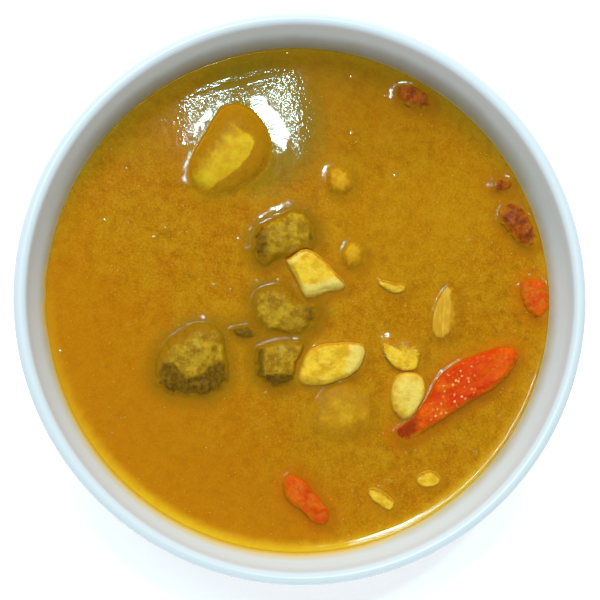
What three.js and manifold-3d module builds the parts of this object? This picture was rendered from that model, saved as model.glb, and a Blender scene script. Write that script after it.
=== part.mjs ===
// A white porcelain soup bowl filled with thick yellow-orange curry, with its vegetables and meat.
// Millimetres, +Z up. The origin is the centre of the foot ring's underside.
// The curry is one solid up to its level. Every chunk sits in a pocket of it and breaks its surface.
import * as THREE from "three";
import { mergeVertices } from "three/addons/utils/BufferGeometryUtils.js";
import Module from "manifold-3d";

const wasm = await Module();
wasm.setup();

// Bowl
const RIM_RADIUS = 80;
const BOWL_HEIGHT = 66;
const WALL = 3.8;
const BASE_MID_HEIGHT = 5.4; // height of the wall's midline on the axis
const BELLY = { flat: 48, radius: 66, height: 22 }; // the midline's two control points
const FOOT = { outer: 34, inner: 29.5, height: 7, recess: 3, edge: 0.8 };
const ROUND_SEGMENTS = 60;
const WALL_STEPS = 9;
const LIP_STEPS = 6;
const OUTER_WALL_START = 0.3; // where the outside leaves the foot, as a fraction of the midline
const HEIGHT_SEARCH_STEPS = 40; // halvings in the search for the wall's point at a height

// Curry
const LEVEL = 52;
const GAP = 0.3; // clearance between touching pieces
const MENISCUS = { height: 0.8, width: 2.2 };
const SURFACE_RINGS = [70.4, 68, 65]; // radii of the rings on which the surface climbs to the wall

const CHUNK_EDGE = -0.5; // where a chunk's outline lies against the level

// The section of every chunk, from its lowest point to its crown: how far it spreads
// (1 at the outline) and how high it stands (-1 at the bottom, 0 at its edge, 1 at the crown).
const CHUNK_SECTION = [
  [0, -1],
  [0.62, -0.86],
  [0.9, -0.45],
  [1, 0],
  [0.95, 0.6],
  [0.8, 0.93],
  [0.42, 1],
  [0, 1],
];
// The section of a soft chunk, a dome that the curry laps over.
const DOME_SECTION = [
  [0, -1],
  [0.62, -0.86],
  [0.9, -0.45],
  [1, 0],
  [0.97, 0.25],
  [0.88, 0.52],
  [0.7, 0.78],
  [0.4, 0.95],
  [0, 1],
];
const POCKET_TOP = 9; // pockets run straight up this far above the level
const POCKET_SECTION = [
  [0, -1],
  [0.62, -0.86],
  [0.9, -0.45],
  [1, 0],
  [1, 1],
  [0, 1],
];

const TOLERANCE = 1e-4; // lengths that differ by less than this are equal
const RANDOM = { factor: 48271, modulus: 2147483647 }; // of the repeating random numbers

const ROUGHNESS = { porcelain: 0.15, curry: 0.25, food: 0.35 };
const COLOURS = {
  porcelain: "#eef4f6",
  curry: "#b8790f",
  carrot: "#dc5314",
  chicken: "#e2bd4c",
  potato: "#cda52a",
  aubergine: "#8a6d12",
  tomato: "#a34a0c",
  onion: "#cf9a2c",
};

// Every chunk: its outline at the surface seen from above, how far it rises over the level
// and reaches under it, and what its crown does: lean shifts it, slope tilts it, rough breaks it up.
// Its section is CHUNK_SECTION where it names none.
const CHUNKS = [
  {
    name: "chicken_centre",
    food: "chicken",
    sides: 20,
    outline: [
      [-4.5, 10.3], [-2.1, 12.1], [0.5, 13.9], [3.8, 13], [7.3, 10.1], [10.2, 6.7], [13.7, 2.8],
      [8.4, 1.3], [1.1, -0.5], [-1, 3.3], [-2.7, 7.1],
    ],
    rise: 3.2,
    depth: 4,
    lean: [-0.4, 1.1],
    slope: [-0.03, 0.02],
    rough: 0.15,
  },
  {
    name: "chicken_lower",
    food: "chicken",
    sides: 20,
    outline: [
      [-1, -24.5], [-0.7, -20.5], [2.3, -14.8], [7.9, -13.1], [18.5, -13.8], [16.2, -21.1],
      [8.8, -24.7], [3.4, -25.6],
    ],
    rise: 3,
    depth: 4,
    lean: [0.4, 0.4],
    slope: [0.02, 0.02],
    rough: 0.18,
  },
  {
    name: "chicken_oval",
    food: "chicken",
    sides: 18,
    outline: [
      [26.9, -22.4], [25.7, -26.4], [25.7, -31], [27.9, -34.5], [30.6, -35.3], [34.6, -30.5],
      [36, -26.4], [34.5, -22], [30.3, -21.3],
    ],
    rise: 3,
    depth: 4,
    lean: [0.2, 0.2],
    slope: [0, 0.03],
    rough: 0.12,
  },
  {
    name: "chicken_fold",
    food: "chicken",
    sides: 16,
    outline: [
      [23.2, -12], [24, -15.8], [26.5, -19.3], [29.4, -20.7], [33.6, -20.5], [35.4, -16.5],
      [34.5, -11.5], [29.1, -10.3],
    ],
    rise: 1.7,
    depth: 4,
    lean: [-0.6, -1],
    slope: [-0.02, -0.08],
    rough: 0.12,
  },
  {
    name: "carrot_long",
    food: "carrot",
    sides: 28,
    outline: [
      [26, -38.8], [27, -41.4], [30, -41.9], [39.1, -36.8], [48.2, -30.8], [54.2, -27.7],
      [59.8, -23.1], [63.7, -15.4], [59.6, -13.8], [51.2, -16.1], [45.3, -18.5], [39.3, -23.2],
      [35.7, -29.5], [30.4, -35.8],
    ],
    rise: 2.6,
    depth: 5,
    lean: [0.8, 0.9],
    slope: [0.045, 0.02],
    rough: 0.3,
  },
  {
    name: "carrot_bottom",
    food: "carrot",
    sides: 18,
    outline: [
      [-4.5, -50.5], [-5.4, -54.8], [-3.5, -58.8], [0, -60.8], [3.7, -64.7], [7.2, -65.1],
      [8.6, -61.6], [4.8, -56.8], [-0.6, -51.1],
    ],
    rise: 1.7,
    depth: 4,
    lean: [-0.2, 0.3],
    slope: [0, 0],
    rough: 0.35,
  },
  {
    name: "carrot_right",
    food: "carrot",
    sides: 16,
    outline: [
      [63.9, 4.3], [66.2, 6.1], [70.2, 5.9], [73.2, 3], [73.8, -0.4], [72.9, -3.5], [69.9, -6],
      [66.8, -4.6],
    ],
    rise: 1.6,
    depth: 5,
    lean: [-0.4, 0],
    slope: [0.03, 0],
    rough: 0.15,
  },
  {
    name: "potato_upper_left",
    food: "potato",
    sides: 20,
    outline: [
      [-31.2, 41.3], [-27.5, 47.2], [-25, 52.2], [-21.8, 55.5], [-17.8, 56.1], [-12.8, 52.4],
      [-9.3, 46.3], [-9, 39.9], [-13.4, 34], [-20.8, 29.2], [-28.3, 28.5], [-32.4, 34],
    ],
    rise: 3.7,
    depth: 13,
    section: DOME_SECTION,
    lean: [-0.6, 0.8],
    slope: [0.02, 0.02],
    rough: 0.05,
  },
  {
    name: "potato_low",
    food: "potato",
    sides: 16,
    outline: [
      [1.1, -36.8], [3.1, -31.6], [4.8, -27.6], [8.9, -24.5], [15.2, -24.8], [21, -27.7],
      [22.7, -32.8], [21.6, -38], [15.8, -41.1], [7.7, -41.3],
    ],
    rise: 1.3,
    depth: 13,
    section: DOME_SECTION,
    lean: [0, 0.8],
    slope: [0, 0.01],
    rough: 0.08,
  },
  {
    name: "aubergine_upper",
    food: "aubergine",
    sides: 18,
    outline: [
      [-14.8, 16.5], [-13, 20], [-9.9, 22.4], [-6.1, 23.6], [-2.7, 25.4], [1.4, 24.3], [4, 21.4],
      [4.9, 17.3], [4.3, 13.2], [1.1, 11.8], [-3.2, 11.1], [-7.3, 10.2], [-11.3, 8.5],
      [-13.9, 11.3],
    ],
    rise: 2.2,
    depth: 10,
    section: DOME_SECTION,
    lean: [0, 0.6],
    slope: [0, 0.02],
    rough: 0.25,
  },
  {
    name: "aubergine_middle",
    food: "aubergine",
    sides: 18,
    outline: [
      [-14.1, 1.2], [-8.6, 3.9], [-4.2, 3.6], [0, -1.2], [5.4, -1.5], [6.3, -5.9], [3.1, -10],
      [-4.9, -10.8], [-12.4, -9],
    ],
    rise: 1.9,
    depth: 9,
    section: DOME_SECTION,
    lean: [0, 0.3],
    slope: [0, 0.02],
    rough: 0.25,
  },
  {
    name: "aubergine_lower",
    food: "aubergine",
    sides: 18,
    outline: [
      [-13.2, -14.2], [-6.7, -12], [1.2, -12.2], [1.4, -14.6], [-1.2, -19.6], [-2, -24.6],
      [-5.8, -25.9], [-10.1, -25.4], [-13.5, -21.4],
    ],
    rise: 2.4,
    depth: 9,
    section: DOME_SECTION,
    lean: [0.2, 0.5],
    slope: [0.01, 0.03],
    rough: 0.2,
  },
  {
    name: "aubergine_left",
    food: "aubergine",
    sides: 20,
    outline: [
      [-42.4, -25.4], [-40.8, -15.7], [-34.7, -9.7], [-27.5, -6.9], [-22.6, -10.1],
      [-20.7, -17.9], [-21.3, -26.4], [-28.1, -29.5], [-37.3, -28.2],
    ],
    rise: 2.9,
    depth: 10,
    section: DOME_SECTION,
    lean: [0.4, 1.6],
    slope: [0.01, 0.03],
    rough: 0.25,
  },
  {
    name: "aubergine_strip",
    food: "aubergine",
    sides: 12,
    outline: [[-21, -9], [-16.8, -7.5], [-11.8, -9.8], [-13.6, -11.6], [-18.2, -11.1]],
    rise: 1.2,
    depth: 2.5,
    section: DOME_SECTION,
    lean: [0, 0],
    slope: [0, 0],
    rough: 0.15,
  },
  {
    name: "tomato_right",
    food: "tomato",
    sides: 18,
    outline: [
      [57.5, 23.4], [58.8, 27.4], [63, 28.9], [66.7, 25.6], [69.3, 20.5], [70.3, 15.6],
      [66.1, 14.3], [60.6, 19.2],
    ],
    rise: 1.7,
    depth: 5,
    section: DOME_SECTION,
    lean: [-0.3, 0.4],
    slope: [-0.02, 0.02],
    rough: 0.25,
  },
  {
    name: "tomato_small",
    food: "tomato",
    sides: 12,
    outline: [[55.1, 32.9], [57.2, 35.6], [62, 35.5], [63, 32.4], [59.1, 30.7]],
    rise: 1.2,
    depth: 3,
    section: DOME_SECTION,
    lean: [0, 0],
    slope: [0, 0],
    rough: 0.15,
  },
  {
    name: "tomato_upper",
    food: "tomato",
    sides: 16,
    outline: [
      [27.2, 61.6], [32.3, 62.9], [37.2, 60.5], [39.8, 57.1], [38.1, 55], [32.3, 55.5],
      [27.8, 57.9],
    ],
    rise: 1.6,
    depth: 4,
    section: DOME_SECTION,
    lean: [-0.3, 0.2],
    slope: [-0.04, 0.02],
    rough: 0.2,
  },
  {
    name: "onion_right",
    food: "onion",
    sides: 16,
    outline: [
      [40.2, 0.2], [38.5, -4.4], [38, -8], [38.8, -11.7], [41.5, -12.4], [45.4, -9.4],
      [46.3, -1.8], [45.5, 3.5], [42.8, 4.3],
    ],
    rise: 0.9,
    depth: 2.4,
    lean: [-0.7, 0],
    slope: [-0.04, 0],
    rough: 0.05,
  },
  {
    name: "lump_upper",
    food: "potato",
    sides: 12,
    outline: [
      [11.6, 11.8], [12.4, 15.1], [14.5, 16.5], [17.4, 16], [18.8, 12.8], [17.4, 8.7],
      [13.3, 7.8],
    ],
    rise: 1.4,
    depth: 4,
    section: DOME_SECTION,
    lean: [0, 0.3],
    slope: [0, 0],
    rough: 0.1,
  },
  {
    name: "lump_far",
    food: "potato",
    sides: 12,
    outline: [
      [7.2, 34.8], [8.4, 38.1], [11.9, 38.4], [14.8, 36.7], [16, 32.6], [12.8, 29.4], [8.7, 30.5],
    ],
    rise: 1.5,
    depth: 4,
    section: DOME_SECTION,
    lean: [-0.3, 0.3],
    slope: [0, 0],
    rough: 0.1,
  },
  {
    name: "flake_right",
    food: "chicken",
    sides: 12,
    outline: [
      [22, 5.7], [24.7, 5.2], [27.6, 4.3], [30.3, 4.6], [31.3, 3.3], [30, 1.6], [26.9, 1.3],
      [24, 2.8], [22.2, 4],
    ],
    rise: 1.1,
    depth: 1.8,
    lean: [0, 0],
    slope: [0, 0],
    rough: 0.12,
  },
  {
    name: "flake_bottom",
    food: "chicken",
    sides: 12,
    outline: [
      [18.9, -54.5], [21.8, -54.4], [24.7, -56.2], [27.4, -59.1], [25.7, -61], [22.7, -59.8],
      [19.8, -57.3],
    ],
    rise: 1.1,
    depth: 1.8,
    lean: [0, 0],
    slope: [0, 0],
    rough: 0.12,
  },
  {
    name: "flake_low_right",
    food: "chicken",
    sides: 12,
    outline: [
      [32.7, -51.6], [35.3, -49.7], [38.1, -49.3], [40.6, -51.5], [39.9, -53.6], [36.5, -54.5],
      [33.4, -53.7],
    ],
    rise: 1.2,
    depth: 1.8,
    lean: [0, 0],
    slope: [0, 0],
    rough: 0.12,
  },
];

// Chunks that lie against another one are cut back by its pocket.
const CUT_BACK = {
  aubergine_upper: ["chicken_centre"],
  aubergine_middle: ["chicken_centre"],
  aubergine_lower: ["chicken_lower", "aubergine_middle"],
  carrot_long: ["chicken_oval"],
  chicken_fold: ["chicken_oval"],
  potato_low: ["chicken_lower"],
  aubergine_strip: ["aubergine_left", "aubergine_middle"],
};

// Even random numbers from 0 to 1 that repeat for the same seed.
function seededRandom(seed) {
  let state = seed;
  return () => {
    state = (state * RANDOM.factor) % RANDOM.modulus;
    return state / RANDOM.modulus;
  };
}

function solidFrom(geometry) {
  const bare = geometry.clone();
  bare.deleteAttribute("normal");
  bare.deleteAttribute("uv");
  const merged = mergeVertices(bare, TOLERANCE);
  const vertProperties = merged.getAttribute("position").array;
  const triVerts = new Uint32Array(merged.index.array);
  return new wasm.Manifold(new wasm.Mesh({ numProp: 3, vertProperties, triVerts }));
}

function geometryFrom(solid) {
  const mesh = solid.getMesh();
  const geometry = new THREE.BufferGeometry();
  geometry.setAttribute("position", new THREE.BufferAttribute(mesh.vertProperties, mesh.numProp));
  geometry.setIndex(new THREE.BufferAttribute(mesh.triVerts, 1));
  geometry.computeVertexNormals();
  return geometry;
}

// Turns a profile of radius and height round the Z axis.
function turned(profile) {
  return new THREE.LatheGeometry(profile, ROUND_SEGMENTS).rotateX(Math.PI / 2);
}

const midline = new THREE.CubicBezierCurve(
  new THREE.Vector2(0, BASE_MID_HEIGHT),
  new THREE.Vector2(BELLY.flat, BASE_MID_HEIGHT),
  new THREE.Vector2(BELLY.radius, BELLY.height),
  new THREE.Vector2(RIM_RADIUS - WALL / 2, BOWL_HEIGHT - WALL / 2),
);

// A point of the bowl's wall, at a distance from the midline: positive towards the outside.
function wallPoint(fraction, distance) {
  const along = midline.getTangent(fraction);
  const outward = new THREE.Vector2(along.y, -along.x);
  return midline.getPoint(fraction).addScaledVector(outward, distance);
}

// The fraction of the midline at which the face at that distance reaches a height.
function fractionAtHeight(height, distance) {
  let low = 0;
  let high = 1;
  for (let step = 0; step < HEIGHT_SEARCH_STEPS; step++) {
    const middle = (low + high) / 2;
    if (wallPoint(middle, distance).y < height) low = middle;
    else high = middle;
  }
  return low;
}

function bowlGeometry() {
  const half = WALL / 2;
  const profile = [
    new THREE.Vector2(0, FOOT.recess),
    new THREE.Vector2(FOOT.inner - FOOT.edge, FOOT.recess),
    new THREE.Vector2(FOOT.inner, FOOT.recess - FOOT.edge),
    new THREE.Vector2(FOOT.inner + FOOT.edge, 0),
    new THREE.Vector2(FOOT.outer - FOOT.edge, 0),
    new THREE.Vector2(FOOT.outer, FOOT.edge),
    new THREE.Vector2(FOOT.outer, FOOT.height),
  ];
  for (let step = 0; step < WALL_STEPS; step++) {
    const fraction = OUTER_WALL_START + ((1 - OUTER_WALL_START) * step) / WALL_STEPS;
    profile.push(wallPoint(fraction, half));
  }
  const centre = midline.getPoint(1);
  const along = midline.getTangent(1);
  const outward = new THREE.Vector2(along.y, -along.x);
  for (let step = 0; step <= LIP_STEPS; step++) {
    const turn = (Math.PI * step) / LIP_STEPS;
    const point = centre.clone().addScaledVector(outward, half * Math.cos(turn));
    profile.push(point.addScaledVector(along, half * Math.sin(turn)));
  }
  for (let step = WALL_STEPS - 1; step > 0; step--) {
    profile.push(wallPoint(step / WALL_STEPS, -half));
  }
  profile.push(new THREE.Vector2(0, BASE_MID_HEIGHT + half));
  return turned(profile);
}

// How far the curry's surface climbs over its level at a distance from the wall.
function meniscusHeight(fromWall) {
  return MENISCUS.height * Math.exp(-fromWall / MENISCUS.width);
}

function curryBody() {
  const distance = -WALL / 2 - GAP;
  const top = fractionAtHeight(LEVEL, distance);
  const wallRadius = wallPoint(top, distance).x;
  const profile = [new THREE.Vector2(0, wallPoint(0, distance).y)];
  for (let step = 1; step <= WALL_STEPS; step++) {
    profile.push(wallPoint((top * step) / WALL_STEPS, distance));
  }
  profile.at(-1).y = LEVEL + meniscusHeight(0);
  for (const radius of SURFACE_RINGS) {
    profile.push(new THREE.Vector2(radius, LEVEL + meniscusHeight(wallRadius - radius)));
  }
  profile.push(new THREE.Vector2(0, LEVEL));
  return solidFrom(turned(profile));
}

// The room inside the bowl, a gap away from its wall, for the chunks that lie against it.
function bowlRoom() {
  const distance = -WALL / 2 - GAP;
  const profile = [new THREE.Vector2(0, wallPoint(0, distance).y)];
  for (let step = 1; step <= WALL_STEPS; step++) {
    profile.push(wallPoint(step / WALL_STEPS, distance));
  }
  profile.push(new THREE.Vector2(0, wallPoint(1, distance).y));
  return solidFrom(turned(profile));
}

// The outline's points at even steps, counter-clockwise, moved out by a margin.
function outlinePoints(chunk, margin) {
  const corners = chunk.outline.map(([x, y]) => new THREE.Vector3(x, y, 0));
  const curve = new THREE.CatmullRomCurve3(corners, true, "centripetal");
  const points = curve.getSpacedPoints(chunk.sides).slice(0, -1);
  if (THREE.ShapeUtils.isClockWise(points)) points.reverse();
  return points.map((point, index) => {
    const before = points.at(index - 1);
    const after = points[(index + 1) % points.length];
    const outward = new THREE.Vector2(after.y - before.y, before.x - after.x).normalize();
    return new THREE.Vector2(point.x, point.y).addScaledVector(outward, margin);
  });
}

// A chunk, or with a margin its pocket, on a lathe's grid: each side takes a point of the outline.
function chunkGeometry(chunk, section, margin, seed) {
  const points = outlinePoints(chunk, margin);
  const centre = points.reduce((sum, point) => sum.add(point), new THREE.Vector2());
  centre.divideScalar(points.length);
  const profile = section.map(([spread, height]) => new THREE.Vector2(spread, height));
  const geometry = new THREE.LatheGeometry(profile, points.length);
  const position = geometry.getAttribute("position");
  const random = seededRandom(seed);
  const bumps = points.map(() => section.map(() => (2 * random() - 1) * chunk.rough));
  for (let index = 0; index < position.count; index++) {
    const side = Math.floor(index / section.length) % points.length;
    const row = index % section.length;
    const [spread, height] = section[row];
    const crown = Math.max(height, 0);
    const x = (points[side].x - centre.x) * spread;
    const y = (points[side].y - centre.y) * spread;
    let z = CHUNK_EDGE + Math.min(height, 0) * (chunk.depth + margin);
    if (margin > 0) {
      z += crown * POCKET_TOP;
    } else {
      const tilt = x * chunk.slope[0] + y * chunk.slope[1];
      const bump = spread > 0 ? bumps[side][row] : 0;
      z += crown * (chunk.rise - CHUNK_EDGE + tilt + bump);
    }
    const shift = margin > 0 ? 0 : crown;
    position.setXYZ(
      index,
      centre.x + x + chunk.lean[0] * shift,
      centre.y + y + chunk.lean[1] * shift,
      LEVEL + z,
    );
  }
  return geometry;
}

function namedMesh(name, geometry, colour, roughness) {
  const material = new THREE.MeshStandardMaterial({ color: colour, roughness, metalness: 0 });
  const mesh = new THREE.Mesh(geometry, material);
  mesh.name = name;
  return mesh;
}

const part = new THREE.Group();
part.name = "bowl_of_curry";
part.add(namedMesh("bowl", bowlGeometry(), COLOURS.porcelain, ROUGHNESS.porcelain));

const room = bowlRoom();
const pockets = new Map();
for (const [index, chunk] of CHUNKS.entries()) {
  pockets.set(chunk.name, solidFrom(chunkGeometry(chunk, POCKET_SECTION, GAP, index + 1)));
}
let curry = curryBody();
for (const pocket of pockets.values()) {
  curry = curry.subtract(pocket);
}
part.add(namedMesh("curry", geometryFrom(curry), COLOURS.curry, ROUGHNESS.curry));

for (const [index, chunk] of CHUNKS.entries()) {
  const section = chunk.section ?? CHUNK_SECTION;
  let solid = solidFrom(chunkGeometry(chunk, section, 0, index + 1)).intersect(room);
  for (const neighbour of CUT_BACK[chunk.name] ?? []) {
    solid = solid.subtract(pockets.get(neighbour));
  }
  part.add(namedMesh(chunk.name, geometryFrom(solid), COLOURS[chunk.food], ROUGHNESS.food));
}

export default part;
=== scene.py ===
"""Looks of a white porcelain bowl of thick yellow-orange curry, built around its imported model."""
import math

import bmesh
import bpy
import numpy as np
from mathutils import Matrix, Vector, noise
from mathutils.bvhtree import BVHTree


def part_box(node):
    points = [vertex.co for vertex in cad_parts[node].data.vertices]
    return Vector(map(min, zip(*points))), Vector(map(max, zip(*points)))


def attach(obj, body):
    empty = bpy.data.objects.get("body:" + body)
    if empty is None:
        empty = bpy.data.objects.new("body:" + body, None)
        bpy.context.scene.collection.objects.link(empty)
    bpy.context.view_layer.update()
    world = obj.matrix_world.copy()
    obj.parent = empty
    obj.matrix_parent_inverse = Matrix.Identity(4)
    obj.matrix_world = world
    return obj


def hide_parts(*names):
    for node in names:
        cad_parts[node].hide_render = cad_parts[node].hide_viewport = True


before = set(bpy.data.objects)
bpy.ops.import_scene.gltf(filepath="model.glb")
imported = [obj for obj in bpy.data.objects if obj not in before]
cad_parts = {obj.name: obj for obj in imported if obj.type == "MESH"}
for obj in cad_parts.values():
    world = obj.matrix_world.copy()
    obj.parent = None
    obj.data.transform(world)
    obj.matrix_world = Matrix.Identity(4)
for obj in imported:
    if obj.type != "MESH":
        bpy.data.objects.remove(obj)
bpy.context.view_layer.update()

# Lengths are in millimetres and turned into metres by MM.
MM = 0.001
BODY = "root"

# The bowl's wall, as the solid has it: a midline curve with half the wall on each side.
bowl_low, bowl_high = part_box("bowl")
RIM_RADIUS = (bowl_high[0] - bowl_low[0]) / 2 / MM
BOWL_HEIGHT = bowl_high[2] / MM
WALL = 3.8
BASE_MID_HEIGHT = 5.4
BELLY_FLAT, BELLY_RADIUS, BELLY_HEIGHT = 48, 66, 22
FOOT_OUTER, FOOT_INNER, FOOT_HEIGHT, FOOT_RECESS = 34, 29.5, 7, 3
OUTER_WALL_START = 0.3
LIP_START, LIP_END = 75.6, 76.2  # radii between which the inner wall turns into the lip

# The curry's surface.
LEVEL = 52
GAP = 0.3
MENISCUS_HEIGHT, MENISCUS_WIDTH = 0.8, 2.2
FAR_CLIMB, FAR_CLIMB_WIDTH = 0.45, 5.0  # its wider climb to the wall behind the near potato
FAR_DIRECTION = 105  # where that lies, in degrees
SURFACE_CELLS = 276  # along a side of the grid that is bent into the surface
INTO_WALL = 0.15  # the curry's edge reaches this far into the wall, so no gap shows
NEAR = 9  # how far a piece tints the curry round it
TINTING = ("carrot", "aubergine", "potato", "tomato", "meat")  # the kinds of food that do

# The camera hangs over the bowl, a little to the left and low of its axis.
CAMERA_PLACE = (-30.3, -26.1, 415)
CAMERA_AIM = (-1.3, -1.5, 64)
CAMERA_LENS = 76.1

# Every piece of food: its kind, how many rounds of smoothing round its edges, how far the curry
# laps over it, how far the curry climbs round it and how much further on the piece's soft side.
# Then how its own colour comes out of the curry, seen from above: over how many millimetres on
# its clear side, over how many on its soft side, and the soft side's direction in degrees.
PIECES = {
    "chicken_centre": ("meat", 9, 0.3, 0.1, 0.2, 0.3, 1.6, 45),
    "chicken_lower": ("meat", 10, 0.3, 0.1, 0.2, 0.3, 1.4, 80),
    "chicken_oval": ("meat", 12, 0.3, 0.1, 0.1, 0.3, 1.0, 60),
    "chicken_fold": ("meat", 10, 0.3, 0.1, 0.5, 0.3, 7.5, 70),
    "flake_right": ("meat", 4, 0.15, 0.05, 0.1, 0.3, 1.8, 60),
    "flake_bottom": ("meat", 4, 0.2, 0.1, 0.2, 0.4, 1.8, 70),
    "flake_low_right": ("meat", 4, 0.2, 0.1, 0.2, 0.4, 1.8, 70),
    "carrot_long": ("carrot", 8, 0.3, 0.35, 0.2, 0.3, 2.2, -50),
    "carrot_bottom": ("carrot", 8, 0.3, 0.25, 0.2, 0.6, 1.8, -140),
    "carrot_right": ("carrot", 8, 0.4, 0.2, 0.3, 0.5, 1.6, 180),
    "potato_upper_left": ("potato", 30, 1.2, 0.0, 0.45, 2.0, 3.0, -120),
    "potato_low": ("potato", 20, 0.8, 0.0, 0.0, 4.5, 6.0, -60),
    "lump_upper": ("potato", 12, 0.5, 0.15, 0.0, 1.2, 4.0, -20),
    "lump_far": ("potato", 10, 0.5, 0.15, 0.0, 1.2, 4.0, -20),
    "aubergine_upper": ("aubergine", 20, 0.5, 0.06, 0.0, 1.2, 4.0, -60),
    "aubergine_middle": ("aubergine", 20, 0.5, 0.06, 0.0, 1.2, 3.5, 30),
    "aubergine_lower": ("aubergine", 16, 0.4, 0.06, 0.1, 0.9, 3.0, 80),
    "aubergine_left": ("aubergine", 20, 0.6, 0.1, 0.2, 1.0, 6.0, 110),
    "aubergine_strip": ("aubergine", 6, 0.3, 0.1, 0.0, 0.6, 1.6, 0),
    "tomato_right": ("tomato", 8, 0.4, 0.2, 0.1, 0.6, 1.8, 180),
    "tomato_small": ("tomato", 8, 0.4, 0.2, 0.1, 0.6, 1.6, 180),
    "tomato_upper": ("tomato", 8, 0.4, 0.2, 0.1, 0.6, 2.0, -90),
    "onion_right": ("onion", 8, 0.3, 0.08, 0.2, 0.3, 3.0, 0),
}
CLIMB_WIDTH = 0.8  # how far from a piece the curry's climb reaches
SOFT_CLIMB_WIDTH = 2.6  # the same on the piece's soft side
VOXEL = 0.28  # the size of the cells that a piece is meshed with
RELIEF_STARTS, RELIEF_FULL = LEVEL - 1.2, LEVEL - 0.4  # heights between which its relief fades in
SHADE_SHIFT = 1.1  # how far its shade on the curry is moved, both right and down the view
# The most that these pieces come out of their film. The others come out wholly.
MOST_BARE = {
    "potato_low": 0.48, "aubergine_upper": 0.7, "aubergine_middle": 0.8, "carrot_right": 0.58,
    "carrot_bottom": 0.62,
}

# The still curry mirrors the key lamp to the camera at this place. The curry is very slightly
# hollow round it, by less than half a millimetre.
MIRROR_SPOT = (-18.1, 48.8)
MIRROR_FOCUS = 278
HOLLOW_REACH, HOLLOW_EXTRA_REACH = 14, 5  # how far it goes, and how much further to the upper right
# Where the lamp's mirror image is whole: a patch's centre, direction and length over its width.
GLARE_RIGHT = ((-9.4, 51.3), (0.55, -0.83), 3.8)
GLARE_LEFT = ((-28.4, 50.4), (0.65, 0.76), 4.5)
GLARE_ARC_RADIUS, GLARE_ARC_MIDDLE = 64.6, -18.5  # the arc behind them, round the bowl's axis

# The ends of lines on pieces: the near potato's bare swath, and the front and back edges of the
# middle slice's top.
SWATH = ((-13.3, 44.3), (-24.2, 32.5))
SLICE_FRONT = ((0.4, 0.0), (12.8, 2.8))
SLICE_BACK = ((-4.1, 9.7), (0.4, 13.3))

# How much of the light that enters the food comes out beside where it entered, and how far away.
TRANSLUCENCY = 0.35
SCATTER = 1.6


# ---------------- shader building

def paint(red, green, blue):
    """A display colour from 0 to 255 as the linear colour that a shader takes."""
    def linear(value):
        value /= 255
        return value / 12.92 if value <= 0.04045 else ((value + 0.055) / 1.055) ** 2.4
    return (linear(red), linear(green), linear(blue), 1)


def operator_pair(operation):
    """A Wire's operator and its reflected form. Each adds a Math node."""
    def plain(self, other):
        return self.math(operation, self, other)

    def reflected(self, other):
        return self.math(operation, other, self)

    return plain, reflected


class Wire:
    """A node's output. Arithmetic on it adds Math nodes."""

    def __init__(self, paintwork, socket):
        self.paintwork = paintwork
        self.socket = socket

    def math(self, operation, first, second=0.0):
        return self.paintwork.wire("ShaderNodeMath", {"operation": operation}, {0: first, 1: second})

    __add__, __radd__ = operator_pair("ADD")
    __sub__, __rsub__ = operator_pair("SUBTRACT")
    __mul__, __rmul__ = operator_pair("MULTIPLY")
    __truediv__, __rtruediv__ = operator_pair("DIVIDE")
    __pow__, __rpow__ = operator_pair("POWER")

    def __abs__(self):
        return self.math("ABSOLUTE", self)


def add_node(tree, kind, settings=None, inputs=None):
    """A new node in a tree. Each input is a value, or a Wire or a socket to link."""
    node = tree.nodes.new(kind)
    for key, value in (settings or {}).items():
        setattr(node, key, value)
    for key, value in (inputs or {}).items():
        value = value.socket if isinstance(value, Wire) else value
        if isinstance(value, bpy.types.NodeSocket):
            tree.links.new(value, node.inputs[key])
        else:
            node.inputs[key].default_value = value
    return node


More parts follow.
